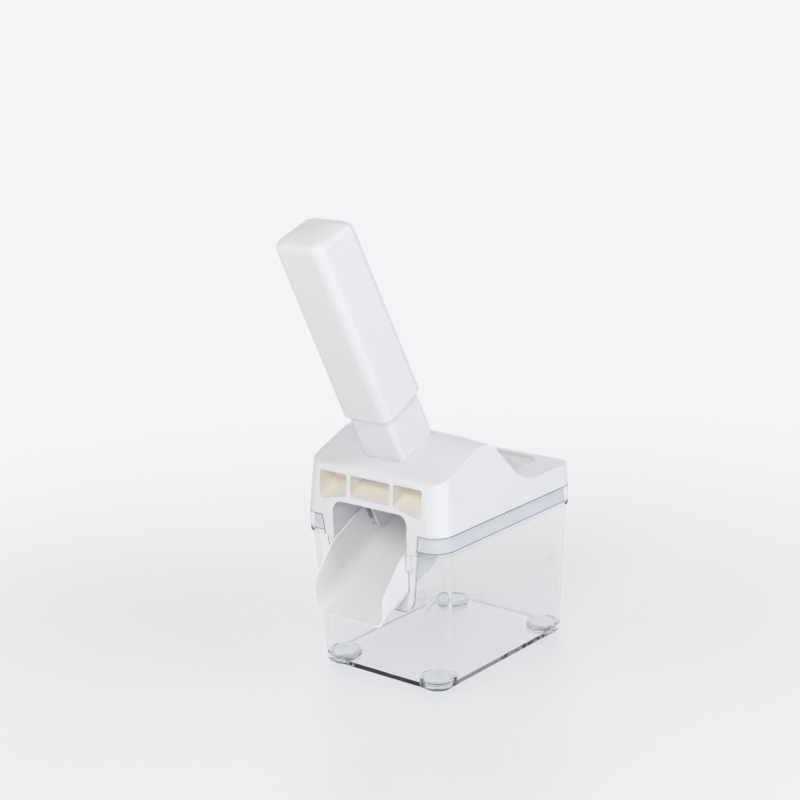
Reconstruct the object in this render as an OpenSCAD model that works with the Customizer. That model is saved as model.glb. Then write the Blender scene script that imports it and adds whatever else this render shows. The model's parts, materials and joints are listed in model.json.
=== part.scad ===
// Plum pitter: a slanted press handle drives crossed blades through the fruit.
// The stone falls into the clear container and the fruit leaves by the front chute.
// X is the width, -Y the chute side, Z up; the container stands on Z = 0.

/* [Container] */
// Outside width of the rim
rim_w = 118; // [112:0.5:130]
// Outside length of the rim
rim_l = 150.5; // [146:0.5:170]
// Height of the rim above the table
rim_h = 108.6; // [104:0.2:116]
// Height of the band that stands proud below the rim
band_h = 11.2; // [8:0.2:14]
// How far the band stands proud of the wall
band_step = 1.8; // [1.2:0.1:2.6]
// Outside width at the floor
floor_w = 104.4; // [98:0.2:112]
// Outside length at the floor
floor_l = 141.4; // [134:0.2:146]
// Outside corner radius of the rim
corner_r = 14; // [10:0.5:18]
// Wall of the clear moulding
wall = 2.2; // [1.6:0.1:3]
// Thickness of the container floor
floor_t = 2.6; // [2:0.1:4]
// Width of the front notch at the rim
notch_top_w = 81; // [76:0.5:88]
// Width of the front notch at its foot
notch_low_w = 64; // [62:0.5:70]
// Height of the lower edge of the notch
notch_h = 53; // [50:0.5:56]
// Radius of the lower corners of the notch
notch_r = 11; // [6:0.5:14]

/* [Feet] */
// Diameter of a foot
foot_d = 20; // [14:0.5:20.5]
// Height of the foot below the container floor
foot_stand = 2.4; // [1.5:0.1:4]
// Depth of the foot in its pocket
foot_depth = 4; // [3:0.1:6]
// Wall of the foot pocket
pocket_wall = 1.4; // [1:0.1:1.6]

/* [Housing] */
// Wall of the white mouldings
shell = 2.2; // [1.8:0.1:2.6]
// Lean of the front panel in degrees
panel_lean = 4.8; // [2:0.1:7]
// Draft of the side walls in degrees
side_draft = 4.6; // [2:0.2:6]
// Radius of the brow between front panel and top
brow_r = 8; // [5:0.5:9]
// Distance from the fruit seat to the slanted top
brow_w = 69.8; // [69.4:0.1:71]
// Slope of the top in front of the crest in degrees
top_slope = 21.9; // [21.4:0.1:23]
// Rise of the hump from its side edges to its middle
top_crown = 3.6; // [2:0.2:4]
// Radius of the crest of the hump
crest_r = 22; // [16:1:24]
// Slope of the back of the hump in degrees
back_slope = 48; // [45:0.5:49]
// Where the back of the hump meets the rear deck in the middle
slope_foot_y = 19; // [18:0.1:21]
// Radius of the hollow between hump and deck
hollow_r = 36; // [24:1:38]
// Height of the rear deck
deck_h = 123.6; // [122:0.2:126]
// Thickness of the skirt in the container rim
skirt_t = 2; // [1.6:0.1:2.4]
// Half width of the middle front pocket
pocket_mid = 16.5; // [13:0.5:17.5]
// Inner edge of the outer front pockets
pocket_in = 19.8; // [19.4:0.1:24]
// Outer edge of the outer front pockets
pocket_out = 43; // [38:0.5:46]
// Height of the pocket roof above the seat
pocket_top_w = 67.6; // [63:0.2:67.6]
// Height of the middle pocket floor above the seat
pocket_low_w = 55; // [54:0.2:57]
// Drop of the outer pocket floor at its outer edge
pocket_drop = 4.4; // [2:0.2:6]
// Height of the discharge opening above the channel
tunnel_h = 51.4; // [46:0.2:52]
// Radius of the upper corners of the discharge opening
tunnel_r = 7; // [3:0.5:10]

/* [Feed tray] */
// Width of the feed basin
basin_w = 72; // [66:1:76]
// Front edge of the feed basin
basin_front = 5; // [3:0.5:7]
// Rear edge of the feed basin
basin_rear = 68; // [62:0.5:69]
// Radius of the rear corners of the basin
basin_r = 12; // [6:0.5:18]
// Slope of the basin floor in degrees
tray_slope = 11.6; // [8:0.2:12.4]
// Width of the gutter that leads the fruit to the seat
gutter_w = 27; // [22:0.5:28]
// Depth of the gutter at the seat
gutter_depth = 7; // [4:0.5:8]

/* [Chute] */
// Inside half width of the channel floor
chute_half = 28; // [26.5:0.5:28.5]
// Lean of the channel walls in degrees
chute_lean = 1.5; // [1:0.5:3]
// Wall of the chute
chute_t = 2; // [1.6:0.1:2.4]
// Radius between channel floor and walls
chute_r = 8; // [4:0.5:8]
// Distance from the seat to the chute lip
lip_v = 96.7; // [92:0.1:102]
// Distance from the seat to where the chute wall starts to fall
wall_root_v = 60; // [57:0.5:63]
// Height of the chute wall where it leaves the housing
wall_root_w = 28.8; // [25:0.2:32]
// Height of the chute wall near the lip
wall_tip_w = 17.8; // [14:0.2:21]
// Setback of the wall tip from the lip
wall_tip_back = 9.3; // [5:0.1:12]
// Radius of the wall tip
wall_tip_r = 8; // [4:0.5:9]
// Radius of the lip corners
lip_r = 4; // [2:0.5:8]
// Height of the low walls beside the seat
low_wall_w = 12; // [10:0.5:14]
// Diameter of the stone hole in the seat
seat_hole_d = 27; // [24:0.5:28]
// Diameter of the seat boss
seat_boss_d = 44; // [43:0.5:46]

/* [Press] */
// Slant of the press axis in degrees
tilt = 26; // [25.5:0.1:26.5]
// Seat position along the length
seat_y = -11.8; // [-12.5:0.1:-11]
// Seat height above the table
seat_z = 93.3; // [92.8:0.1:94]
// Travel of the press handle
stroke = 30; // [24:0.5:30]
// Outside width of the guide tube
tube_w = 35; // [32:0.5:36]
// Wall of the guide tube
tube_t = 2; // [1.6:0.1:2.6]
// Corner radius of the guide tube
tube_r = 4.7; // [3:0.1:6]
// Upper end of the guide tube above the seat
tube_top_w = 197; // [180:1:198]
// Height of the bosses that carry the guide tube
tube_boss_h = 4.4; // [4:0.1:4.8]
// Thickness of the tube floor and its ears
tube_floor_t = 3; // [2.5:0.1:3.5]
// Diameter of the plunger stem
stem_d = 10; // [8:0.5:11]
// Half length of the stripper cage along the channel
cage_half = 23; // [20:0.5:23]
// Half width of the stripper cage
cage_half_w = 25.5; // [23.5:0.1:25.5]

/* [Handle] */
// Wall of the handle at its lower edge
grip_t = 2.4; // [2:0.1:2.8]
// How much the handle narrows on each side towards its top
grip_draft = 0.8; // [0:0.1:1]
// Lower edge of the handle above the seat
grip_low_w = 105.4; // [105:0.2:110]
// Length of the handle up to its shoulders
grip_len = 127; // [120:1:150]
// Tilt of the handle's top in degrees
crown_tilt = 7.5; // [0:0.5:10]
// Rise of the crowned top
crown_h = 2.4; // [1:0.1:5]
// Edge radius of the top
crown_r = 6; // [3:0.5:7]

/* [Blades] */
// Width of the crossed blades
blade_w = 20; // [16:0.5:20]
// Thickness of a blade
blade_t = 1; // [0.6:0.1:1.4]
// Height of the blade tips above the seat at rest
blade_tip_w = 28; // [28:0.2:30]
// Depth of the hollow in the blade edge
blade_hollow = 5; // [2:0.5:7]

/* [Spring] */
// Wire of the return spring
wire_d = 1.5; // [1.2:0.1:2]
// Mean diameter of the coils
coil_d = 20.6; // [18.5:0.2:22]
// Number of coils
coils = 12; // [8:1:14]

/* [Fits] */
// Gap between the housing shoulder and the container rim
rim_gap = 0.3; // [0.3:0.05:0.6]
// Gap round the skirt and the tongue
lid_gap = 0.4; // [0.3:0.05:0.6]
// Gap between handle sleeve and guide tube on each side
slide_gap = 0.3; // [0.3:0.05:0.5]
// Radial running gap of the stem in its bush
stem_gap = 0.05; // [0.03:0.01:0.1]
// Gap between moulded pieces that are fixed together
seat_gap = 0.3; // [0.2:0.05:0.4]
// Small gap round pressed-in pieces
snug_gap = 0.05; // [0.02:0.01:0.1]

/* [Hidden] */
$fn = 48;
arc_step = 7.5;
// How far a cutter runs past a face, and the thickness of a slice that a hull joins
cut = 1;
slice = 0.01;

clear_plastic = [0.86, 0.90, 0.94, 0.4];
white_plastic = "#f3f3f1";
soft_clear = [0.78, 0.82, 0.86, 0.7];
soft_grey = "#8d9092";
steel = "#b9bcc0";

// Frame: the origin is the middle of the footprint box, on the table
grip_w = tube_w + 2 * (slide_gap + grip_t);
grip_top_width = grip_w - 2 * grip_draft;
grip_front_y = seat_y - (grip_top_width / 2 - crown_r) * cos(tilt)
    - (grip_low_w + grip_len + crown_h) * sin(tilt) - crown_r;
frame_y = -(grip_front_y + rim_l / 2) / 2;

// Container
band_low_z = rim_h - band_h - wall;
body_w = rim_w - 2 * band_step;
body_l = rim_l - 2 * band_step;
body_r = corner_r - band_step;
floor_r = body_r;
foot_x = floor_w / 2 - floor_r;
foot_y = floor_l / 2 - floor_r;
pocket_h = foot_depth + pocket_wall;
foot_edge = 0.8;

// Housing
skirt_inset = wall + lid_gap;
skirt_low_z = rim_h - band_h + lid_gap;
inner_low_z = rim_h - band_h - 30;
block_top_z = seat_z + brow_w + 40;
edge_r = 3;
corner_lead = 0.2;
loft_steps = 10;
pocket_r = 1.5;
cell_back = 22;
tube_floor_w = brow_w - shell - tube_boss_h - tube_floor_t;
tube_ear_top = tube_floor_w + tube_floor_t;

// Chute
ear_w = low_wall_w - 1;
ear_t = 3;
ear_margin = 5;
ear_half = 5.5;
section_h = 60;
chute_rear = 26;
tunnel_lap_w = 20;
gutter_t = 2;
boss_low_w = -gutter_depth - gutter_t;
seal_d = 34;
seal_t = 1.4;
slit_l = seat_hole_d - 3;
slit_w = 0.8;
ring_t = 3;
ring_d = seat_boss_d - 1;
ring_low_w = boss_low_w - seal_t - ring_t;

// Press
bush_flange_d = 20;
bush_flange_t = 1.8;
bush_d = stem_d + 4;
bush_rise = 3;
bush_low_w = tube_floor_w - bush_flange_t;
buffer_t = 1.5;
buffer_d = bush_flange_d - 2;
stop_gap = 0.3;
head_top_w = bush_low_w - stop_gap - buffer_t;
head_h = 16;
head_low_w = head_top_w - head_h;
head_d = 22;
head_nose_d = 15;
head_rim_h = 4;
slot_h = 6;
slot_top_w = head_low_w + slot_h;
socket_floor = 1;
socket_low_w = slot_top_w + socket_floor;
cage_top_w = tube_floor_w;
cage_t = 2;
cage_low_w = chute_r + 1;
strip_low_w = blade_tip_w;
strip_t = 2.5;
strip_hole_d = head_d + 3;
strip_margin = 4;
cage_shoulder_w = strip_low_w + 8;
cage_r = 3;
tab_t = 2.5;
tab_margin = 5;
cage_pilot_h = 3.4;
cage_screw_l = tab_t + tube_floor_t + cage_pilot_h - snug_gap;

// Handle
grip_r = tube_r + slide_gap + grip_t;
grip_top_w = grip_low_w + grip_len;
crown_shoulder = 8;
crown_t = 3;
boss_d = stem_d + 7;
boss_len = 62;
boss_low = grip_top_w - boss_len;
stem_top_w = boss_low + 35;
stem_pin_w = boss_low + 18;
stem_pin_d = 3;
stem_pin_l = boss_d - 0.4;
head_pin_d = 2.5;
head_pin_w = socket_low_w + 4.5;

// Spring
spring_washer_t = 1.5;
washer_gap = 0.2;
spring_low_w = tube_ear_top + seat_gap + wire_d / 2;
spring_top_w = boss_low - spring_washer_t - seat_gap - wire_d / 2;
coil_rings = 8;
wire_sides = 6;

// Screws: shank, head, and the holes for them
screw_d = 2.9;
screw_head_d = 5.6;
screw_head_h = 2;
pilot_d = 3;
clear_d = 3.4;
screw_boss_d = 7;
drive_l = 3.2;
drive_w = 0.7;
drive_depth = 1;
cage_screw_x = 28.5;
cage_screw_v = [-10, 4];
chute_screw_x = 38;
chute_screw_v = [-15, 10];
chute_screw_l = 12;
ear_reach = chute_screw_x + ear_margin;
tray_screw_x = basin_w / 2 + shell + screw_boss_d / 2 + 0.5;
tray_screw_y = [basin_front + 31, basin_rear - 6];
tray_screw_l = 6;
tray_flange_t = 2;
tray_flange_front = basin_front + 25;
tray_flange_margin = 5;
tray_flange_r = 4;
tray_boss_h = 4;
tray_flange_z = deck_h - shell - tray_boss_h - tray_flange_t;
ring_screw_r = (seal_d / 2 + ring_d / 2) / 2;
ring_screw_at = [20, 160, 270];
ring_screw_l = 8;
ring_pilot_h = 4.4;

// Outlines are lists of [x, y, corner radius], anticlockwise
function unit(v) = v / norm(v);
function left(d) = [-d.y, d.x];
function turned(a) = a > 180 ? a - 360 : a < -180 ? a + 360 : a;
function corner(a, b, c, r) =
    let (u = unit(a - b), v = unit(c - b), half = acos(u * v) / 2,
        mid = b + unit(u + v) * r / sin(half),
        p = b + u * r / tan(half) - mid,
        q = b + v * r / tan(half) - mid,
        from = atan2(p.y, p.x),
        sweep = turned(atan2(q.y, q.x) - from),
        n = max(2, ceil(abs(sweep) / arc_step)))
    [for (k = [0:n]) mid + r * [cos(from + sweep * k / n), sin(from + sweep * k / n)]];
function flat(p) = [p.x, p.y];
function rounded(path) =
    let (n = len(path))
    [for (i = [0:n - 1])
        let (a = flat(path[(i + n - 1) % n]), b = flat(path[i]), c = flat(path[(i + 1) % n]))
        each path[i].z > 0 ? corner(a, b, c, path[i].z) : [b]];
function inset(path, d) =
    let (n = len(path))
    [for (i = [0:n - 1])
        let (a = flat(path[(i + n - 1) % n]), b = flat(path[i]), c = flat(path[(i + 1) % n]),
            e = unit(b - a), f = unit(c - b),
            m = (left(e) + left(f)) / (1 + left(e) * left(f)),
            convex = e.x * f.y - e.y * f.x > 0)
        [b.x + m.x * d, b.y + m.y * d, path[i].z > 0 ? max(path[i].z + (convex ? -d : d), 0) : 0]];
function meet(p, d, q, e) = p + d * ((q - p).x * e.y - (q - p).y * e.x) / (d.x * e.y - d.y * e.x);
function box_path(w, l, r) =
    [[-w / 2, -l / 2, r], [w / 2, -l / 2, r], [w / 2, l / 2, r], [-w / 2, l / 2, r]];

// A point of the press frame, v along the channel and w up the press axis, in the side view
function side_point(v, w) =
    [seat_y + v * cos(tilt) - w * sin(tilt), seat_z + v * sin(tilt) + w * cos(tilt)];

// Placing helpers
module placed() translate([0, frame_y, 0]) children();
module on_axis() translate([0, seat_y, seat_z]) rotate([tilt, 0, 0]) children();
module across(w) translate([-w / 2, 0, 0]) rotate([90, 0, 90]) linear_extrude(w) children();
module along(from, to) translate([0, to, 0]) rotate([90, 0, 0]) linear_extrude(to - from) children();
module lifted(from, to) translate([0, 0, from]) linear_extrude(to - from) children();
module outline(path) polygon(rounded(path));
module crosswise(w, d, length) translate([0, 0, w]) rotate([0, 90, 0])
    cylinder(d = d, h = length, center = true);
module at_screws(x, list) for (sx = [-1, 1], v = list) translate([sx * x, v, 0]) children();

// Fasteners: the head sits below the seat of the screw and the shank points up
module screw(length) {
    cylinder(d = screw_d, h = length);
    difference() {
        translate([0, 0, -screw_head_h]) cylinder(d = screw_head_d, h = screw_head_h);
        for (a = [0, 90]) rotate(a) lifted(-screw_head_h - cut, -screw_head_h + drive_depth)
            square([drive_l, drive_w], center = true);
    }
}

// Front notch of the container, seen from the front, carried on above the rim
function notch_path(gap) =
    let (over = 12, widen = (notch_top_w - notch_low_w) / 2 / (rim_h - notch_h) * over)
    inset([[-notch_top_w / 2 - widen, rim_h + over, 0], [-notch_low_w / 2, notch_h, notch_r],
        [notch_low_w / 2, notch_h, notch_r], [notch_top_w / 2 + widen, rim_h + over, 0]], gap);

module tapered_box(low_z, high_z, trim) hull() {
    taper = (high_z - foot_stand) / (band_low_z - foot_stand);
    start = (low_z - foot_stand) / (band_low_z - foot_stand);
    lifted(low_z, low_z + slice)
        outline(box_path(floor_w + (body_w - floor_w) * start - 2 * trim,
            floor_l + (body_l - floor_l) * start - 2 * trim, floor_r - trim));
    lifted(high_z - slice, high_z)
        outline(box_path(floor_w + (body_w - floor_w) * taper - 2 * trim,
            floor_l + (body_l - floor_l) * taper - 2 * trim, body_r - trim));
}

module at_feet() for (sx = [-1, 1], sy = [-1, 1])
    translate([sx * foot_x, sy * foot_y, foot_stand]) children();

module container() color(clear_plastic) placed() difference() {
    union() {
        difference() {
            union() {
                tapered_box(foot_stand, band_low_z + cut, 0);
                lifted(band_low_z, rim_h) outline(box_path(rim_w, rim_l, corner_r));
            }
            tapered_box(foot_stand + floor_t, rim_h - band_h + cut / 2, wall);
            lifted(rim_h - band_h, rim_h + cut)
                outline(box_path(rim_w - 2 * wall, rim_l - 2 * wall, corner_r - wall));
            along(-rim_l, -rim_l / 2 + corner_r) outline(notch_path(0));
        }
        at_feet() cylinder(d = foot_d + 2 * (snug_gap + pocket_wall), h = pocket_h);
    }
    at_feet() translate([0, 0, -cut]) cylinder(d = foot_d + 2 * snug_gap, h = foot_depth + cut);
}

module foot(sx, sy) color(soft_clear) placed() translate([sx * foot_x, sy * foot_y, 0])
    rotate_extrude() polygon([[0, 0], [foot_d / 2 - foot_edge, 0], [foot_d / 2, foot_edge],
        [foot_d / 2, foot_stand + foot_depth - foot_edge],
        [foot_d / 2 - foot_edge, foot_stand + foot_depth], [0, foot_stand + foot_depth]]);

module foot_front_left() foot(-1, -1);
module foot_front_right() foot(1, -1);
module foot_rear_left() foot(-1, 1);
module foot_rear_right() foot(1, 1);

// Side view of the housing at a place along X: front panel, brow, slanted top, crest, back slope, deck
function housing_path(low_z, x) =
    let (half = rim_l / 2, drop = top_crown * pow(abs(2 * x / rim_w), 3),
        top = side_point(0, brow_w) - [0, drop], rise = [cos(top_slope), sin(top_slope)],
        foot_of_panel = [-half, rim_h], panel = [sin(panel_lean), cos(panel_lean)],
        fall = [-cos(back_slope), sin(back_slope)],
        slope_foot = [slope_foot_y - drop / tan(back_slope), deck_h],
        brow = meet(foot_of_panel, panel, top, rise),
        crest = meet(top, rise, slope_foot, fall),
        low = meet(foot_of_panel, panel, [0, low_z], [1, 0]))
    [[low.x, low.y, 0], [half, low_z, 0], [half, deck_h, edge_r], [slope_foot.x, slope_foot.y, hollow_r],
        [crest.x, crest.y, crest_r], [brow.x, brow.y, brow_r]];

// Plan of the housing at a height: the sides and the front corners lean in as it rises
function housing_plan(z) =
    let (half = rim_w / 2 - (z - rim_h) * tan(side_draft), rear = rim_l / 2 + corner_lead,
        front = -rim_l / 2 - corner_lead + (z - rim_h) * tan(panel_lean))
    [[-half, front, corner_r], [half, front, corner_r], [half, rear, corner_r], [-half, rear, corner_r]];

// Loft through side views that have the same number of points, each at its place along X
module loft(places, views) {
    n = len(views[0]);
    last = len(places) - 1;
    polyhedron(
        points = [for (k = [0:last], p = views[k]) [places[k], p.x, p.y]],
        faces = [
            [for (i = [0:n - 1]) i],
            [for (i = [n - 1:-1:0]) last * n + i],
            for (k = [0:last - 1], i = [0:n - 1])
                let (a = k * n + i, b = k * n + (i + 1) % n)
                each [[a, a + n, b], [b, a + n, b + n]]]);
}

module housing_block(low_z, trim) intersection() {
    places = [for (k = [0:loft_steps]) (k / loft_steps - 0.5) * (rim_w + 2 * cut)];
    loft(places, [for (x = places) rounded(inset(housing_path(low_z, x), trim))]);
    hull() for (z = [low_z - cut, block_top_z])
        lifted(z, z + slice) outline(inset(housing_plan(z), trim));
}

// Half width of the discharge tunnel at a height above the channel floor
function tunnel_half(w) = chute_half + chute_t + seat_gap + w * tan(chute_lean);
tunnel_low_w = -chute_t - seat_gap;

module tunnel_section() outline([[-tunnel_half(tunnel_low_w), tunnel_low_w, chute_r + chute_t],
    [tunnel_half(tunnel_low_w), tunnel_low_w, chute_r + chute_t],
    [tunnel_half(tunnel_h), tunnel_h, tunnel_r], [-tunnel_half(tunnel_h), tunnel_h, tunnel_r]]);

module pocket_section() {
    outline([[-pocket_mid, pocket_low_w, pocket_r], [pocket_mid, pocket_low_w, pocket_r],
        [pocket_mid, pocket_top_w, pocket_r], [-pocket_mid, pocket_top_w, pocket_r]]);
    for (side = [0, 1]) mirror([side, 0])
        outline([[pocket_in, pocket_low_w, pocket_r], [pocket_out, pocket_low_w - pocket_drop, 2 * pocket_r],
            [pocket_out, pocket_top_w, pocket_r], [pocket_in, pocket_top_w, pocket_r]]);
}

module pocket_block() along(-rim_l, -cell_back) {
    outer = pocket_out + shell;
    low = pocket_low_w - pocket_drop - shell;
    translate([-outer, low]) square([2 * outer, brow_w + 2 * shell - low]);
    translate([-tunnel_half(tunnel_h) - shell, tunnel_lap_w])
        square([2 * (tunnel_half(tunnel_h) + shell), low - tunnel_lap_w + cut]);
}

// Front plate in the container notch: flush with the band above, with the wall below
module front_plate() {
    half = rim_l / 2;
    lean = (body_l - floor_l) / 2 / (band_low_z - foot_stand);
    low_front = -half + band_step + (band_low_z - notch_h) * lean;
    back = -half + skirt_inset + skirt_t;
    intersection() {
        across(rim_w) polygon([[-half, rim_h + rim_gap + shell], [-half, band_low_z],
            [-half + band_step, band_low_z - band_step], [low_front, notch_h],
            [low_front + shell, notch_h], [-half + band_step + shell, band_low_z - band_step],
            [back, band_low_z], [back, rim_h + rim_gap + shell]]);
        along(-rim_l, 0) outline(notch_path(lid_gap));
    }
}

module skirt() difference() {
    union() {
        lifted(skirt_low_z, rim_h + rim_gap + shell)
            outline(inset(box_path(rim_w, rim_l, corner_r), skirt_inset));
        lifted(rim_h + rim_gap, rim_h + rim_gap + shell)
            outline(inset(box_path(rim_w, rim_l, corner_r), shell / 2));
    }
    lifted(skirt_low_z - cut, rim_h + rim_gap + shell + cut)
        outline(inset(box_path(rim_w, rim_l, corner_r), skirt_inset + skirt_t));
}

module basin_cut() lifted(deck_h - shell - tray_boss_h, block_top_z) outline(basin_path(0));

module housing() color(white_plastic) placed() difference() {
    union() {
        difference() {
            housing_block(rim_h + rim_gap, 0);
            housing_block(inner_low_z, shell);
        }
        intersection() {
            housing_block(inner_low_z, shell / 2);
            union() {
                on_axis() pocket_block();
                on_axis() at_screws(cage_screw_x, cage_screw_v)
                    lifted(tube_ear_top, brow_w) circle(d = screw_boss_d);
                on_axis() at_screws(chute_screw_x, chute_screw_v)
                    lifted(ear_w + ear_t, brow_w) circle(d = screw_boss_d);
            }
        }
        at_screws(tray_screw_x, tray_screw_y)
            lifted(tray_flange_z + tray_flange_t, deck_h - shell / 2) circle(d = screw_boss_d);
        skirt();
        front_plate();
    }
    on_axis() along(-rim_l, -cell_back - shell) pocket_section();
    on_axis() along(-rim_l, -cell_back + cut) tunnel_section();
    on_axis() lifted(tube_floor_w, grip_low_w)
        outline(box_path(tube_w + seat_gap, tube_w + seat_gap, tube_r + seat_gap / 2));
    basin_cut();
    on_axis() at_screws(cage_screw_x, cage_screw_v)
        lifted(tube_ear_top - cut, tube_ear_top + cage_pilot_h) circle(d = pilot_d);
    on_axis() at_screws(chute_screw_x, chute_screw_v)
        lifted(ear_w, ear_w + chute_screw_l + cut) circle(d = pilot_d);
    at_screws(tray_screw_x, tray_screw_y)
        lifted(tray_flange_z, tray_flange_z + tray_screw_l + snug_gap) circle(d = pilot_d);
}

// Feed tray: a sloped basin under the deck with a gutter that deepens towards the seat
tray_front = side_point(chute_rear + seat_gap, 0);
function tray_floor(y) = tray_front.y + 0.5 + (y - tray_front.x) * tan(tray_slope);
function gutter_floor(y) = tray_floor(y) - gutter_depth * (basin_rear - y) / (basin_rear - tray_front.x);
function basin_path(grow) = inset([[-basin_w / 2, basin_front, basin_r], [basin_w / 2, basin_front, basin_r],
    [basin_w / 2, basin_rear, basin_r], [-basin_w / 2, basin_rear, basin_r]], -grow);

module above_floor(drop) across(rim_w) polygon([[0, tray_floor(0) - drop], [rim_l, tray_floor(rim_l) - drop],
    [rim_l, block_top_z], [0, block_top_z]]);
module gutter(w, drop) across(w) polygon([[0, gutter_floor(0) - drop],
    [basin_rear, tray_floor(basin_rear) - drop], [basin_rear, tray_floor(basin_rear) + cut],
    [0, tray_floor(0) + cut]]);

flange_half = tray_screw_x + tray_flange_margin;
flange_rear = basin_rear + shell;
flange_path = [[-flange_half, tray_flange_front, tray_flange_r],
    [flange_half, tray_flange_front, tray_flange_r], [flange_half, flange_rear, tray_flange_r],
    [-flange_half, flange_rear, tray_flange_r]];

module feed_tray() color(white_plastic) placed() difference() {
    union() {
        intersection() {
            lifted(0, block_top_z) outline(basin_path(shell));
            housing_block(inner_low_z, shell + snug_gap);
            union() {
                above_floor(shell);
                gutter(gutter_w + 2 * gutter_t, gutter_t);
            }
        }
        difference() {
            lifted(tray_flange_z, tray_flange_z + tray_flange_t) outline(flange_path);
            lifted(0, block_top_z) outline(basin_path(shell / 2));
            at_screws(tray_screw_x, tray_screw_y) cylinder(d = clear_d, h = block_top_z);
        }
    }
    intersection() {
        lifted(0, block_top_z) outline(basin_path(0));
        above_floor(0);
    }
    gutter(gutter_w, 0);
    on_axis() lifted(ring_low_w * 2, low_wall_w + seat_gap)
        translate([0, -rim_l / 2 + chute_rear + seat_gap]) square([2 * ear_reach, rim_l], center = true);
    lifted(0, block_top_z) translate([-chute_half - seat_gap, 0])
        square([2 * (chute_half + seat_gap), tray_front.x - shell]);
}

module tray_screws() color(steel) placed()
    at_screws(tray_screw_x, tray_screw_y) translate([0, 0, tray_flange_z]) screw(tray_screw_l);

// Chute: one channel from behind the seat to the lip, cut to its side view and rounded at the lip
function chute_edge(w, grow) = chute_half + grow + w * tan(chute_lean);
module chute_section(grow) outline([[-chute_edge(-grow, grow), -grow, chute_r + grow],
    [chute_edge(-grow, grow), -grow, chute_r + grow], [chute_edge(section_h, grow), section_h, 0],
    [-chute_edge(section_h, grow), section_h, 0]]);
module chute_side() outline([[-lip_v, -chute_t, chute_t / 2], [chute_rear, -chute_t, 0],
    [chute_rear, low_wall_w, 0], [-cell_back - chute_t, low_wall_w, 0],
    [-cell_back - chute_t, wall_root_w, 0], [-wall_root_v, wall_root_w, edge_r],
    [-lip_v + wall_tip_back, wall_tip_w, wall_tip_r]]);
lip_half = chute_edge(wall_tip_w, chute_t);
module chute_plan() outline([[-rim_w / 2, 2 * chute_rear, 0], [-lip_half, -lip_v, lip_r],
    [lip_half, -lip_v, lip_r], [rim_w / 2, 2 * chute_rear, 0]]);
module at_ring_screws() for (a = ring_screw_at) rotate(a) translate([ring_screw_r, 0]) children();

module chute() color(white_plastic) placed() on_axis() difference() {
    union() {
        intersection() {
            along(-rim_l, chute_rear) difference() {
                chute_section(chute_t);
                chute_section(0);
            }
            across(rim_w) chute_side();
            lifted(-rim_l, rim_l) chute_plan();
        }
        lifted(boss_low_w, -chute_t / 2) circle(d = seat_boss_d);
        lifted(boss_low_w, -chute_t / 2) translate([-gutter_w / 2 - gutter_t, 0])
            square([gutter_w + 2 * gutter_t, chute_rear]);
        for (side = [0, 1]) mirror([side, 0]) for (v = chute_screw_v)
            lifted(ear_w, ear_w + ear_t) translate([chute_edge(ear_w, chute_t / 2), v - ear_half])
                square([ear_reach - chute_edge(ear_w, chute_t / 2), 2 * ear_half]);
    }
    lifted(boss_low_w - cut, cut) circle(d = seat_hole_d);
    lifted(-gutter_depth, cut) translate([-gutter_w / 2, 0]) square([gutter_w, chute_rear + cut]);
    at_screws(chute_screw_x, chute_screw_v) lifted(ear_w - cut, ear_w + ear_t + cut) circle(d = clear_d);
    at_ring_screws() lifted(boss_low_w - cut, boss_low_w + ring_pilot_h) circle(d = pilot_d);
}

module chute_screws() color(steel) placed() on_axis()
    at_screws(chute_screw_x, chute_screw_v) translate([0, 0, ear_w]) screw(chute_screw_l);

// Soft seal with a cross slit, clamped under the seat
module seat_seal() color(soft_grey) placed() on_axis() lifted(boss_low_w - seal_t, boss_low_w) difference() {
    circle(d = seal_d - 2 * snug_gap);
    for (a = [45, 135]) rotate(a) square([slit_l, slit_w], center = true);
}

module seal_ring() color(white_plastic) placed() on_axis() difference() {
    lifted(ring_low_w, boss_low_w) circle(d = ring_d);
    lifted(boss_low_w - seal_t, boss_low_w + cut) circle(d = seal_d);
    lifted(ring_low_w - cut, boss_low_w) circle(d = seat_hole_d);
    at_ring_screws() lifted(ring_low_w - cut, boss_low_w + cut) circle(d = clear_d);
}

module seal_ring_screws() color(steel) placed() on_axis()
    at_ring_screws() translate([0, 0, ring_low_w]) screw(ring_screw_l);

// Guide tube: square tube with a floor, a bush hole and two ears
tab_front = cage_screw_v[0] - tab_margin;
tab_rear = cage_screw_v[1] + tab_margin;
tab_half = cage_screw_x + tab_margin;
module ears(from, to, inner) lifted(from, to) for (side = [0, 1]) mirror([side, 0])
    translate([inner, tab_front]) square([tab_half - inner, tab_rear - tab_front]);

module guide_tube() color(white_plastic) placed() on_axis() difference() {
    union() {
        lifted(tube_floor_w, tube_top_w) outline(box_path(tube_w, tube_w, tube_r));
        ears(tube_floor_w, tube_ear_top, 0);
    }
    lifted(tube_ear_top, tube_top_w + cut)
        outline(box_path(tube_w - 2 * tube_t, tube_w - 2 * tube_t, tube_r - tube_t));
    lifted(tube_floor_w - cut, tube_ear_top + cut) circle(d = bush_d + 2 * snug_gap);
    at_screws(cage_screw_x, cage_screw_v) lifted(tube_floor_w - cut, tube_ear_top + cut) circle(d = clear_d);
}

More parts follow.
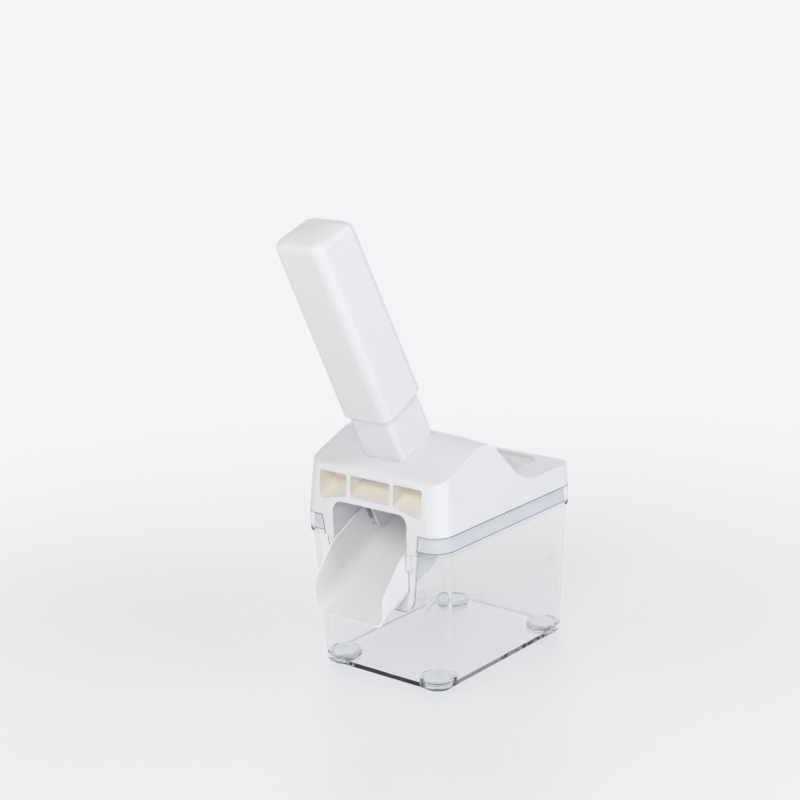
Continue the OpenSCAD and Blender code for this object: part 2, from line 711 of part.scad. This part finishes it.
// Stripper cage: two side plates, the stripper ring between them, and tabs under the tube's ears
module stripper_cage() color(white_plastic) placed() on_axis() difference() {
    union() {
        for (side = [0, 1]) mirror([side, 0])
            translate([cage_half_w - cage_t, 0, 0]) rotate([90, 0, 90]) linear_extrude(cage_t)
                outline([[-cage_half, cage_low_w, cage_r], [cage_half, cage_low_w, cage_r],
                    [cage_half, cage_shoulder_w, cage_r], [tab_rear, cage_top_w, 0],
                    [tab_front, cage_top_w, 0], [-cage_half, cage_shoulder_w, cage_r]]);
        lifted(strip_low_w, strip_low_w + strip_t)
            square([2 * cage_half_w - cage_t, 2 * (cage_half - strip_margin)], center = true);
        ears(cage_top_w - tab_t, cage_top_w, cage_half_w - cage_t);
    }
    lifted(strip_low_w - cut, strip_low_w + strip_t + cut) circle(d = strip_hole_d);
    at_screws(cage_screw_x, cage_screw_v)
        lifted(cage_top_w - tab_t - cut, cage_top_w + cut) circle(d = clear_d);
}

module cage_screws() color(steel) placed() on_axis()
    at_screws(cage_screw_x, cage_screw_v) translate([0, 0, cage_top_w - tab_t]) screw(cage_screw_l);

module stem_bush() color(soft_grey) placed() on_axis() difference() {
    union() {
        lifted(bush_low_w, tube_floor_w) circle(d = bush_flange_d);
        lifted(bush_low_w, tube_ear_top + bush_rise) circle(d = bush_d);
    }
    lifted(bush_low_w - cut, tube_ear_top + bush_rise + cut) circle(d = stem_d + 2 * stem_gap);
}

// Return spring: one wire wound round the stem
function coil_point(i) =
    let (turn = i / coil_rings, a = 360 * turn)
    [coil_d / 2 * cos(a), coil_d / 2 * sin(a), spring_low_w + (spring_top_w - spring_low_w) * turn / coils];
function coil_ring(i) =
    let (a = 360 * i / coil_rings, mid = coil_point(i), out = [cos(a), sin(a), 0])
    [for (k = [0:wire_sides - 1])
        let (b = 360 * k / wire_sides) mid + wire_d / 2 * (cos(b) * out + sin(b) * [0, 0, 1])];
rings = coils * coil_rings;
coil_points = [for (i = [0:rings]) coil_point(i)];
coil_gap = min([for (i = [0:rings - coil_rings + 2]) for (j = [i + coil_rings - 2:rings])
    norm(coil_points[i] - coil_points[j])]) - wire_d;
echo(least_gap_between_coils = coil_gap);

module return_spring() color(steel) placed() on_axis() polyhedron(
    points = [for (i = [0:rings]) each coil_ring(i)],
    faces = [
        for (i = [0:rings - 1], k = [0:wire_sides - 1])
            let (a = i * wire_sides + k, b = i * wire_sides + (k + 1) % wire_sides)
            each [[a, b, a + wire_sides], [b, b + wire_sides, a + wire_sides]],
        for (k = [1:wire_sides - 2]) [0, k + 1, k],
        for (k = [1:wire_sides - 2])
            let (z = rings * wire_sides) [z, z + k, z + k + 1]]);

module spring_washer() color(steel) placed() on_axis()
    lifted(boss_low - spring_washer_t, boss_low) difference() {
        circle(d = coil_d + 3 * wire_d);
        circle(d = stem_d + 2 * washer_gap);
    }

// Slices of the handle's top: its edge at an angle of the rounding, its crown at a part of the width
module edge_slice(a) {
    in = crown_r * (1 - cos(a));
    rise = crown_r * sin(a);
    length = grip_top_width * cos(crown_tilt);
    lifted(rise - slice, rise)
        outline(box_path(grip_top_width - 2 * in, length - 2 * in, grip_r - in * grip_r / (2 * crown_r)));
}
module crown_slice(part) {
    rise = crown_r + crown_h * (1 - part * part);
    width = (grip_top_width - 2 * crown_r) * part;
    lifted(rise - slice, rise) outline(box_path(width, width, grip_r * part / 2));
}
module grip_body() hull() {
    lifted(grip_low_w, grip_low_w + slice) outline(box_path(grip_w, grip_w, grip_r));
    lifted(grip_top_w - crown_shoulder, grip_top_w - crown_shoulder + slice)
        outline(box_path(grip_top_width, grip_top_width, grip_r));
    translate([0, 0, grip_top_w]) rotate([-crown_tilt, 0, 0]) {
        for (a = [0:22.5:90]) edge_slice(a);
        for (part = [0.8, 0.55, 0.3]) crown_slice(part);
    }
}

// Handle: square sleeve with a softly crowned top and a socket for the stem
module handle_sleeve() color(white_plastic) placed() on_axis() difference() {
    union() {
        difference() {
            grip_body();
            lifted(grip_low_w - cut, grip_top_w - crown_t)
                outline(box_path(grip_w - 2 * grip_t, grip_w - 2 * grip_t, grip_r - grip_t));
        }
        lifted(boss_low, grip_top_w - crown_t + cut) circle(d = boss_d);
    }
    lifted(boss_low - cut, stem_top_w + snug_gap) circle(d = stem_d + 2 * snug_gap);
    crosswise(stem_pin_w, stem_pin_d + 2 * snug_gap, boss_d + cut);
}

module plunger_stem() color(steel) placed() on_axis() difference() {
    lifted(socket_low_w, stem_top_w) circle(d = stem_d);
    crosswise(stem_pin_w, stem_pin_d + 2 * snug_gap, boss_d);
    crosswise(head_pin_w, head_pin_d + 2 * snug_gap, boss_d);
}

module stem_pin() color(steel) placed() on_axis() crosswise(stem_pin_w, stem_pin_d, stem_pin_l);

module buffer_washer() color(soft_grey) placed() on_axis()
    lifted(head_top_w, head_top_w + buffer_t) difference() {
        circle(d = buffer_d);
        circle(d = stem_d + 2 * snug_gap);
    }

// Plunger head: turned blade carrier with crossed slots below and the stem socket above
module plunger_head() color(white_plastic) placed() on_axis() difference() {
    rotate_extrude() polygon([[0, head_low_w], [head_nose_d / 2, head_low_w], [head_nose_d / 2, slot_top_w],
        [head_d / 2, head_top_w - head_rim_h], [head_d / 2, head_top_w], [0, head_top_w]]);
    lifted(head_low_w - cut, slot_top_w) for (a = [0, 90]) rotate(a)
        square([blade_w + 2 * snug_gap, blade_t + 2 * snug_gap], center = true);
    lifted(socket_low_w, head_top_w + cut) circle(d = stem_d + 2 * snug_gap);
    crosswise(head_pin_w, head_pin_d + 2 * snug_gap, head_d + cut);
}

module head_pin() color(steel) placed() on_axis() crosswise(head_pin_w, head_pin_d, head_nose_d);

// Crossed blades: each is slotted to half its height, one from below and one from above
lap_w = (blade_tip_w + blade_hollow + slot_top_w) / 2;
module blade(slot_low, slot_top) difference() {
    translate([-blade_t / 2, 0, 0]) rotate([90, 0, 90]) linear_extrude(blade_t)
        polygon([[-blade_w / 2, blade_tip_w], [0, blade_tip_w + blade_hollow], [blade_w / 2, blade_tip_w],
            [blade_w / 2, slot_top_w], [-blade_w / 2, slot_top_w]]);
    lifted(slot_low, slot_top) square([3 * blade_t, blade_t + 2 * snug_gap], center = true);
}

module blade_lengthwise() color(steel) placed() on_axis() blade(blade_tip_w, lap_w);
module blade_crosswise() color(steel) placed() on_axis() rotate(90) blade(lap_w, slot_top_w + cut);

container();
foot_front_left();
foot_front_right();
foot_rear_left();
foot_rear_right();
housing();
feed_tray();
tray_screws();
chute();
chute_screws();
seat_seal();
seal_ring();
seal_ring_screws();
guide_tube();
stripper_cage();
cage_screws();
stem_bush();
return_spring();
spring_washer();
handle_sleeve();
plunger_stem();
stem_pin();
buffer_washer();
plunger_head();
head_pin();
blade_lengthwise();
blade_crosswise();
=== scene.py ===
import bmesh
import bpy
import json
import math
from mathutils import Matrix, Quaternion, Vector


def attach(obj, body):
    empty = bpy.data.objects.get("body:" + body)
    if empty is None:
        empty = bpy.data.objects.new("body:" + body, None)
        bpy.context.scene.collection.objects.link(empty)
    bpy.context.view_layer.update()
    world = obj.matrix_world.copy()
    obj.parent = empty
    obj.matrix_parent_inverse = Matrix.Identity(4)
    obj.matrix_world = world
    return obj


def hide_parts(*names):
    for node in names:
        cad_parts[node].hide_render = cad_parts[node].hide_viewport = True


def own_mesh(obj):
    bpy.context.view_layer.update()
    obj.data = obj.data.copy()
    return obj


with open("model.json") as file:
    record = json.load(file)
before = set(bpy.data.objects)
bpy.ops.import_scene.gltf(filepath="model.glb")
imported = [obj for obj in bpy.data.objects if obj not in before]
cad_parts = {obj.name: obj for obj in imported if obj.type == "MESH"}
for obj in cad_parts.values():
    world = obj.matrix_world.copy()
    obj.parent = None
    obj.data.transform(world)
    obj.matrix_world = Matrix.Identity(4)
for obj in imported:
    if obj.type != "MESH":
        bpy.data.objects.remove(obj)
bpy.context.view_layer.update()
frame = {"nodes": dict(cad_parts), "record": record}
nodes = frame["nodes"]
bodies = frame["record"]["behaviour"]["bodies"]
bodyOf = {name: body for body, members in bodies.items() for name in members}
slotOf = {part["node"]: part["material_slot"] for part in frame["record"]["subparts"]}
mmPerM = 1000
mixA, mixB, mixOut = 6, 7, 2  # the colour sockets of a Mix node
scene = bpy.context.scene
scene.view_settings.view_transform = "Standard"
print("frame loaded:", len(nodes), "nodes")

# a ray to the feet goes through many clear faces
bounces = {"max_bounces": 20, "transmission_bounces": 20, "glossy_bounces": 12, "transparent_max_bounces": 32}
for name, count in bounces.items():
    setattr(scene.cycles, name, count)


def hexColor(code):
    # sRGB hex to linear
    values = [int(code[i:i + 2], 16) / 255 for i in (1, 3, 5)]
    return tuple(v / 12.92 if v <= 0.04045 else ((v + 0.055) / 1.055) ** 2.4 for v in values) + (1.0,)


def addNode(tree, kind, settings=None, inputs=None):
    # a (node, socket) pair links, anything else is set as a value
    node = tree.nodes.new(kind)
    for name, value in (settings or {}).items():
        setattr(node, name, value)
    for name, value in (inputs or {}).items():
        if isinstance(value, tuple) and isinstance(value[0], bpy.types.Node):
            tree.links.new(value[0].outputs[value[1]], node.inputs[name])
        else:
            node.inputs[name].default_value = value
    return node


def newMaterial(name):
    material = bpy.data.materials.new(name)
    material.use_nodes = True
    tree = material.node_tree
    tree.nodes.clear()
    return material, tree


# camera: the azimuth counts from the chute side towards the right wall
shot = {"aim": (-0.0176, 0.0104, 0.1772), "azimuth": 40.0, "elevation": 14.89, "roll": -2.08,
        "distance": 1.228, "lens": 82.8, "sensor": 36.0, "farClip": 100.0}


def placeCamera(s):
    turn, lift = math.radians(s["azimuth"]), math.radians(s["elevation"])
    back = Vector((math.sin(turn) * math.cos(lift), -math.cos(turn) * math.cos(lift), math.sin(lift)))
    roll = Quaternion((0, 0, 1), math.radians(s["roll"]))
    camera = bpy.data.objects.new("camera", bpy.data.cameras.new("camera"))
    camera.data.lens = s["lens"]
    camera.data.sensor_width = s["sensor"]
    camera.data.clip_end = s["farClip"]
    camera.location = Vector(s["aim"]) + back * s["distance"]
    camera.rotation_mode = "QUATERNION"
    camera.rotation_quaternion = back.to_track_quat("Z", "Y") @ roll
    scene.collection.objects.link(camera)
    scene.camera = camera


placeCamera(shot)
print("camera placed")

# white ABS, moulded with a soft gloss: an even cool white, with a painted warm light mixed in where the walls
# close in
whiteAbs = {"white": "#e9eaee", "shade": "#e3e5e9", "cream": "#f7f3ea", "mottleMm": 30.0, "mottleDetail": 3.0,
            "grainMm": 0.7, "grainDetail": 2.0, "grainDepthMm": 0.004, "grainStrength": 0.5,
            "recessMm": 30.0, "recessRays": 8, "recessClosed": 0.2, "recessOpen": 0.85,
            "roughLow": 0.26, "roughHigh": 0.36, "ior": 1.53}
# a lighter copy of the white ABS for the chute and the tray: painted light that keeps the hollow of each bright
paintedLitAbs = dict(whiteAbs, white="#f2f3f6", shade="#eff0f3", cream="#fbfaf8")


def makeWhiteAbs(name, s):
    material, tree = newMaterial(name)
    place = addNode(tree, "ShaderNodeTexCoord")
    mottle = addNode(tree, "ShaderNodeTexNoise", None,
                     {"Vector": (place, "Object"), "Scale": mmPerM / s["mottleMm"], "Detail": s["mottleDetail"]})
    grain = addNode(tree, "ShaderNodeTexNoise", None,
                    {"Vector": (place, "Object"), "Scale": mmPerM / s["grainMm"], "Detail": s["grainDetail"]})
    tone = addNode(tree, "ShaderNodeMix", {"data_type": "RGBA"},
                   {"Factor": (mottle, "Fac"), mixA: hexColor(s["white"]), mixB: hexColor(s["shade"])})
    # painted light: a brighter cream mixed in where the ambient occlusion finds close walls, standing for light
    # bounced inside and let through the thin plastic
    hollow = addNode(tree, "ShaderNodeAmbientOcclusion", {"samples": s["recessRays"], "only_local": True},
                     {"Distance": s["recessMm"] / mmPerM})
    paintedRecessMask = addNode(tree, "ShaderNodeMapRange", None,
                     {"Value": (hollow, "AO"), "From Min": s["recessClosed"], "From Max": s["recessOpen"],
                      "To Min": 1.0, "To Max": 0.0})
    colour = addNode(tree, "ShaderNodeMix", {"data_type": "RGBA"},
                     {"Factor": (paintedRecessMask, "Result"), mixA: (tone, mixOut), mixB: hexColor(s["cream"])})
    rough = addNode(tree, "ShaderNodeMapRange", None,
                    {"Value": (mottle, "Fac"), "To Min": s["roughLow"], "To Max": s["roughHigh"]})
    bump = addNode(tree, "ShaderNodeBump", None,
                   {"Height": (grain, "Fac"), "Strength": s["grainStrength"],
                    "Distance": s["grainDepthMm"] / mmPerM})
    shader = addNode(tree, "ShaderNodeBsdfPrincipled", None,
                     {"Base Color": (colour, mixOut), "Roughness": (rough, "Result"),
                      "Normal": (bump, "Normal"), "IOR": s["ior"]})
    addNode(tree, "ShaderNodeOutputMaterial", None, {"Surface": (shader, "BSDF")})
    return material


# clear polystyrene, moulded and polished: nearly colourless through the wall, dark blue-grey along its edges
clearPs = {"tint": "#fefefe", "edge": "#a6aab0", "density": 12.0, "ior": 1.57, "flowMm": 18.0, "flowDetail": 2.0,
           "roughLow": 0.0, "roughHigh": 0.02, "pass": "#f8f9fb"}
# clear soft plastic, moulded: as clear, with a slightly uneven surface
softClear = {"tint": "#f8fafb", "edge": "#98a2ae", "density": 12.0, "ior": 1.45, "flowMm": 4.0, "flowDetail": 2.0,
             "roughLow": 0.0, "roughHigh": 0.06, "pass": "#fafbfc"}


def makeClear(name, s):
    material, tree = newMaterial(name)
    place = addNode(tree, "ShaderNodeTexCoord")
    flow = addNode(tree, "ShaderNodeTexNoise", None,
                   {"Vector": (place, "Object"), "Scale": mmPerM / s["flowMm"], "Detail": s["flowDetail"]})
    rough = addNode(tree, "ShaderNodeMapRange", None,
                    {"Value": (flow, "Fac"), "To Min": s["roughLow"], "To Max": s["roughHigh"]})
    shader = addNode(tree, "ShaderNodeBsdfPrincipled", None,
                     {"Base Color": hexColor(s["tint"]), "Roughness": (rough, "Result"), "IOR": s["ior"],
                      "Transmission Weight": 1.0})
    inside = addNode(tree, "ShaderNodeVolumeAbsorption", None,
                     {"Color": hexColor(s["edge"]), "Density": s["density"]})
    # lamp light and bounced light go straight through, so that what stands inside is lit
    path = addNode(tree, "ShaderNodeLightPath")
    lit = addNode(tree, "ShaderNodeMath", {"operation": "MAXIMUM"},
                  {0: (path, "Is Shadow Ray"), 1: (path, "Is Diffuse Ray")})
    through = addNode(tree, "ShaderNodeBsdfTransparent", None, {"Color": hexColor(s["pass"])})
    both = addNode(tree, "ShaderNodeMixShader", None,
                   {0: (lit, 0), 1: (shader, "BSDF"), 2: (through, "BSDF")})
    addNode(tree, "ShaderNodeOutputMaterial", None,
            {"Surface": (both, "Shader"), "Volume": (inside, "Volume")})
    return material


# stainless steel, drawn or punched: bright grey with fine upright streaks
steel = {"bright": "#d3d5d8", "dull": "#b4b7bb", "streakMm": 0.5, "streakDetail": 4.0, "stretch": 0.05,
         "roughLow": 0.2, "roughHigh": 0.36}


def makeSteel(s):
    material, tree = newMaterial("stainlessSteelDrawn")
    place = addNode(tree, "ShaderNodeTexCoord")
    along = addNode(tree, "ShaderNodeMapping", None,
                    {"Vector": (place, "Object"), "Scale": (1.0, 1.0, s["stretch"])})
    streak = addNode(tree, "ShaderNodeTexNoise", None,
                     {"Vector": (along, "Vector"), "Scale": mmPerM / s["streakMm"], "Detail": s["streakDetail"]})
    colour = addNode(tree, "ShaderNodeMix", {"data_type": "RGBA"},
                     {"Factor": (streak, "Fac"), mixA: hexColor(s["bright"]), mixB: hexColor(s["dull"])})
    rough = addNode(tree, "ShaderNodeMapRange", None,
                    {"Value": (streak, "Fac"), "To Min": s["roughLow"], "To Max": s["roughHigh"]})
    shader = addNode(tree, "ShaderNodeBsdfPrincipled", None,
                     {"Base Color": (colour, mixOut), "Roughness": (rough, "Result"), "Metallic": 1.0})
    addNode(tree, "ShaderNodeOutputMaterial", None, {"Surface": (shader, "BSDF")})
    return material


# grey silicone and natural acetal, moulded: matt, with a fine cloudy grain
greySilicone = {"light": "#9a9da0", "dark": "#85888b", "cloudMm": 6.0, "grainMm": 0.5, "grainDepthMm": 0.01,
                "grainStrength": 0.5, "rough": 0.62, "ior": 1.41}
naturalAcetal = {"light": "#e2e3e2", "dark": "#d6d7d6", "cloudMm": 8.0, "grainMm": 0.5, "grainDepthMm": 0.004,
                 "grainStrength": 0.5, "rough": 0.45, "ior": 1.48}


def makeMatt(name, s):
    material, tree = newMaterial(name)
    place = addNode(tree, "ShaderNodeTexCoord")
    cloud = addNode(tree, "ShaderNodeTexNoise", None,
                    {"Vector": (place, "Object"), "Scale": mmPerM / s["cloudMm"]})
    grain = addNode(tree, "ShaderNodeTexNoise", None,
                    {"Vector": (place, "Object"), "Scale": mmPerM / s["grainMm"]})
    colour = addNode(tree, "ShaderNodeMix", {"data_type": "RGBA"},
                     {"Factor": (cloud, "Fac"), mixA: hexColor(s["light"]), mixB: hexColor(s["dark"])})
    bump = addNode(tree, "ShaderNodeBump", None,
                   {"Height": (grain, "Fac"), "Strength": s["grainStrength"],
                    "Distance": s["grainDepthMm"] / mmPerM})
    shader = addNode(tree, "ShaderNodeBsdfPrincipled", None,
                     {"Base Color": (colour, mixOut), "Roughness": s["rough"], "IOR": s["ior"],
                      "Normal": (bump, "Normal")})
    addNode(tree, "ShaderNodeOutputMaterial", None, {"Surface": (shader, "BSDF")})
    return material


finishes = {
    "white_plastic": makeWhiteAbs("whiteAbsMoulded", whiteAbs),
    "clear_plastic": makeClear("clearPolystyrene", clearPs),
    "soft_clear": makeClear("softClearPlastic", softClear),
    "steel": makeSteel(steel),
    "soft_grey": makeMatt("greySilicone", greySilicone),
    "bush_plastic": makeMatt("naturalAcetal", naturalAcetal),
}
finishOf = {name: finishes[slotOf[name]] for name in nodes}
# painted light: the chute and the tray take the lighter copy of the white ABS
finishOf["chute"] = finishOf["feed_tray"] = makeWhiteAbs("pureWhiteAbsMoulded", paintedLitAbs)
for name, node in nodes.items():
    node.data.materials.clear()
    node.data.materials.append(finishOf[name])
print("finishes set on", len(finishOf), "nodes")

# moulded pieces: the node's surface, merged, with smooth curves and its sharp edges either crisp or broken
mouldings = {"mergeMm": 0.005, "flatDeg": 0.4, "sharpDeg": 32.0, "segments": 2,
             "crisp": ["housing", "handle_sleeve", "guide_tube", "chute", "feed_tray"],
             "edgeMm": {"stripper_cage": 0.17, "container": 0.3, "foot_front_left": 0.3,
                        "foot_front_right": 0.3, "foot_rear_left": 0.3, "foot_rear_right": 0.3},
             # a thin air gap round each foot, as where a soft piece lies in a clear pocket
             "airMm": {"soft_clear": 0.06}}


def copyNode(name, suffix, mergeMm, flatDeg=None, crispDeg=None):
    # the node's triangles, merged into one smooth surface that stands for the node
    shell = bmesh.new()
    shell.from_mesh(nodes[name].data)
    bmesh.ops.remove_doubles(shell, verts=shell.verts, dist=mergeMm / mmPerM)
    if flatDeg:
        bmesh.ops.dissolve_limit(shell, angle_limit=math.radians(flatDeg), verts=shell.verts,
                                 edges=shell.edges)
    for face in shell.faces:
        face.smooth = True
    if crispDeg:
        for edge in shell.edges:
            edge.smooth = edge.calc_face_angle(0.0) < math.radians(crispDeg)
    mesh = bpy.data.meshes.new(name + suffix)
    shell.to_mesh(mesh)
    shell.free()
    mesh.materials.append(finishOf[name])
    piece = bpy.data.objects.new(name + suffix, mesh)
    scene.collection.objects.link(piece)
    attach(piece, bodyOf[name])
    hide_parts(name)
    return piece


def mouldNode(name, s):
    broken = name in s["edgeMm"]
    piece = copyNode(name, "_moulding", s["mergeMm"], s["flatDeg"], None if broken else s["sharpDeg"])
    if slotOf[name] in s["airMm"]:
        gap = piece.modifiers.new("airGap", "DISPLACE")
        gap.mid_level = 0.0
        gap.strength = -s["airMm"][slotOf[name]] / mmPerM
    if broken:
        bevel = piece.modifiers.new("brokenEdges", "BEVEL")
        bevel.width = s["edgeMm"][name] / mmPerM
        bevel.segments = s["segments"]
        bevel.limit_method = "ANGLE"
        bevel.angle_limit = math.radians(s["sharpDeg"])
        bevel.use_clamp_overlap = True
    normals = piece.modifiers.new("evenNormals", "WEIGHTED_NORMAL")
    normals.keep_sharp = True
    return piece


for name in mouldings["crisp"] + list(mouldings["edgeMm"]):
    piece = mouldNode(name, mouldings)
    print("moulding", name, len(piece.data.polygons), "faces")

# return spring: a merged copy of the wire, in a mesh of its own, on the body of its node
spring = {"node": "return_spring", "joint": "handle_press", "mergeMm": 0.005}


def makeSpring(s):
    piece = copyNode(s["node"], "_wire", s["mergeMm"])
    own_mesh(piece)


makeSpring(spring)

# floor: pale and faintly glossy where the object stands, and an even pale backdrop farther off
floorLook = {"colour": "#f6f6f7", "backdrop": "#f4f4f6", "nearM": 0.1, "farM": 0.7, "share": 0.4,
             "radius": 40.0, "segments": 96, "drop": 0.0003, "rough": 0.3, "specular": 0.3}


def shownRays(tree):
    # the rays that show the backdrop: straight from the camera, mirrored or seen through
    path = addNode(tree, "ShaderNodeLightPath")
    bent = addNode(tree, "ShaderNodeMath", {"operation": "MAXIMUM"},
                   {0: (path, "Is Glossy Ray"), 1: (path, "Is Transmission Ray")})
    return addNode(tree, "ShaderNodeMath", {"operation": "MAXIMUM"},
                   {0: (path, "Is Camera Ray"), 1: (bent, 0)})


def makeFloor(s):
    material, tree = newMaterial("studioFloor")
    place = addNode(tree, "ShaderNodeTexCoord")
    reach = addNode(tree, "ShaderNodeVectorMath", {"operation": "LENGTH"}, {0: (place, "Object")})
    fade = addNode(tree, "ShaderNodeMapRange", {"interpolation_type": "SMOOTHSTEP"},
                   {"Value": (reach, "Value"), "From Min": s["nearM"], "From Max": s["farM"],
                    "To Min": s["share"]})
    far = addNode(tree, "ShaderNodeMath", {"operation": "MULTIPLY"},
                  {0: (shownRays(tree), 0), 1: (fade, "Result")})
    shader = addNode(tree, "ShaderNodeBsdfPrincipled", None,
                     {"Base Color": hexColor(s["colour"]), "Roughness": s["rough"],
                      "Specular IOR Level": s["specular"]})
    glow = addNode(tree, "ShaderNodeEmission", None, {"Color": hexColor(s["backdrop"]), "Strength": 1.0})
    both = addNode(tree, "ShaderNodeMixShader", None,
                   {0: (far, 0), 1: (shader, "BSDF"), 2: (glow, "Emission")})
    addNode(tree, "ShaderNodeOutputMaterial", None, {"Surface": (both, "Shader")})
    plate = bmesh.new()
    bmesh.ops.create_circle(plate, cap_ends=True, segments=s["segments"], radius=s["radius"],
                            matrix=Matrix.Translation((0, 0, -s["drop"])))
    mesh = bpy.data.meshes.new("studioFloor")
    plate.to_mesh(mesh)
    plate.free()
    mesh.materials.append(material)
    floor = bpy.data.objects.new("studioFloor", mesh)
    scene.collection.objects.link(floor)


makeFloor(floorLook)

# lights: a pale world, a weak box overhead and one at the left that show in the gloss, and plain fills from the
# right, the front and the back that don't; mirror and see-through surfaces find the bright backdrop in the world
lamps = {"world": "#f0f2f5", "worldStrength": 0.39, "backdrop": "#f4f4f6", "aim": (0.0, 0.0, 0.12),
         "soft": [{"name": "topBox", "at": (0.0, 0.4, 2.4), "size": 2.4, "power": 1.0, "colour": "#fffefb",
                   "gloss": True},
                  {"name": "leftBox", "at": (-0.8, -1.4, 1.2), "size": 1.1, "power": 2.5, "colour": "#fffdf9",
                   "gloss": True},
                  {"name": "rightBox", "at": (1.65, 0.35, 0.8), "size": 0.9, "power": 11.0, "colour": "#fcfcfd",
                   "gloss": False},
                  {"name": "fillBox", "at": (0.65, -1.45, 1.0), "size": 0.9, "power": 15.5, "colour": "#fffcf4",
                   "gloss": False},
                  {"name": "backBox", "at": (-1.1, 1.25, 0.45), "size": 0.8, "power": 11.0, "colour": "#fdfcfb",
                   "gloss": False}]}


def makeLights(s):
    world = bpy.data.worlds.new("studio")
    scene.world = world
    world.use_nodes = True
    tree = world.node_tree
    tree.nodes.clear()
    soft = addNode(tree, "ShaderNodeBackground", None,
                   {"Color": hexColor(s["world"]), "Strength": s["worldStrength"]})
    shown = addNode(tree, "ShaderNodeBackground", None, {"Color": hexColor(s["backdrop"]), "Strength": 1.0})
    both = addNode(tree, "ShaderNodeMixShader", None,
                   {0: (shownRays(tree), 0), 1: (soft, "Background"), 2: (shown, "Background")})
    addNode(tree, "ShaderNodeOutputWorld", None, {"Surface": (both, "Shader")})
    for lamp in s["soft"]:
        light = bpy.data.lights.new(lamp["name"], "AREA")
        light.size = lamp["size"]
        light.energy = lamp["power"]
        light.color = hexColor(lamp["colour"])[:3]
        holder = bpy.data.objects.new(lamp["name"], light)
        holder.location = lamp["at"]
        holder.visible_glossy = holder.visible_transmission = lamp["gloss"]
        aim = Vector(s["aim"]) - holder.location
        holder.rotation_mode = "QUATERNION"
        holder.rotation_quaternion = aim.to_track_quat("-Z", "Y")
        scene.collection.objects.link(holder)


makeLights(lamps)

# a dark card behind the camera, met only by mirrored and bent rays: it draws the dark lines along clear edges
# and a softer tone in the gloss of near edges
darkCard = {"colour": "#15171c", "at": (1.25, -1.5, 0.002), "wide": 2.2, "high": 1.6}


def makeCard(s):
    material, tree = newMaterial("darkCard")
    shader = addNode(tree, "ShaderNodeBsdfDiffuse", None, {"Color": hexColor(s["colour"])})
    addNode(tree, "ShaderNodeOutputMaterial", None, {"Surface": (shader, "BSDF")})
    foot = Vector(s["at"])
    side = Vector((-foot.y, foot.x, 0)).normalized() * s["wide"] / 2
    lift = Vector((0, 0, s["high"]))
    sheet = bmesh.new()
    corners = (foot - side, foot + side, foot + side + lift, foot - side + lift)
    sheet.faces.new([sheet.verts.new(corner) for corner in corners])
    mesh = bpy.data.meshes.new("darkCard")
    sheet.to_mesh(mesh)
    sheet.free()
    mesh.materials.append(material)
    card = bpy.data.objects.new("darkCard", mesh)
    card.visible_camera = card.visible_diffuse = card.visible_shadow = False
    scene.collection.objects.link(card)


makeCard(darkCard)
print("floor, lights and card set")

bpy.context.view_layer.update()
